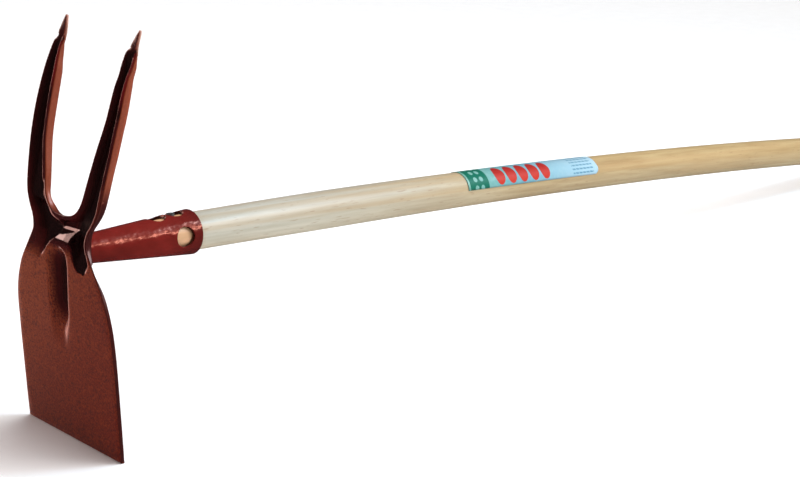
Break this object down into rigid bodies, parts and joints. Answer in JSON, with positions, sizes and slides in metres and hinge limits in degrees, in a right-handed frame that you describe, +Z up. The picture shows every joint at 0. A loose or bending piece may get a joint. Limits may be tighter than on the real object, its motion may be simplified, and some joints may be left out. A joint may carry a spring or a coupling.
{
  "type": "double hoe",
  "caption": "Long-handled double hoe: pressed steel head with a flat blade below and channel tines above, conical socket welded behind and a wooden handle.",
  "frame": {"origin": "middle of the flat cutting edge, on the ground that the edge and the handle's far end stand on", "axes": "+X from the head towards the handle's end, along the ground; +Y across the blade; +Z up, from the blade to the tines"},
  "size_m": [1.2203, 0.1014, 0.2687],
  "materials": {
    "dark_red_enamel": "satin to glossy brownish red stoving paint with a fine speckle",
    "red_enamel": "glossy dark red paint",
    "pale_wood": "smooth pale hardwood with fine flecks, thinly varnished",
    "zinc": "plain zinc plate",
    "label_film": "printed glossy film"
  },
  "bodies": {
    "root": {"head": "dark_red_enamel", "socket": "red_enamel", "weld_bead": "red_enamel", "handle": "pale_wood", "fixing_nail": "zinc", "label": "label_film"}
  },
  "joints": []
}
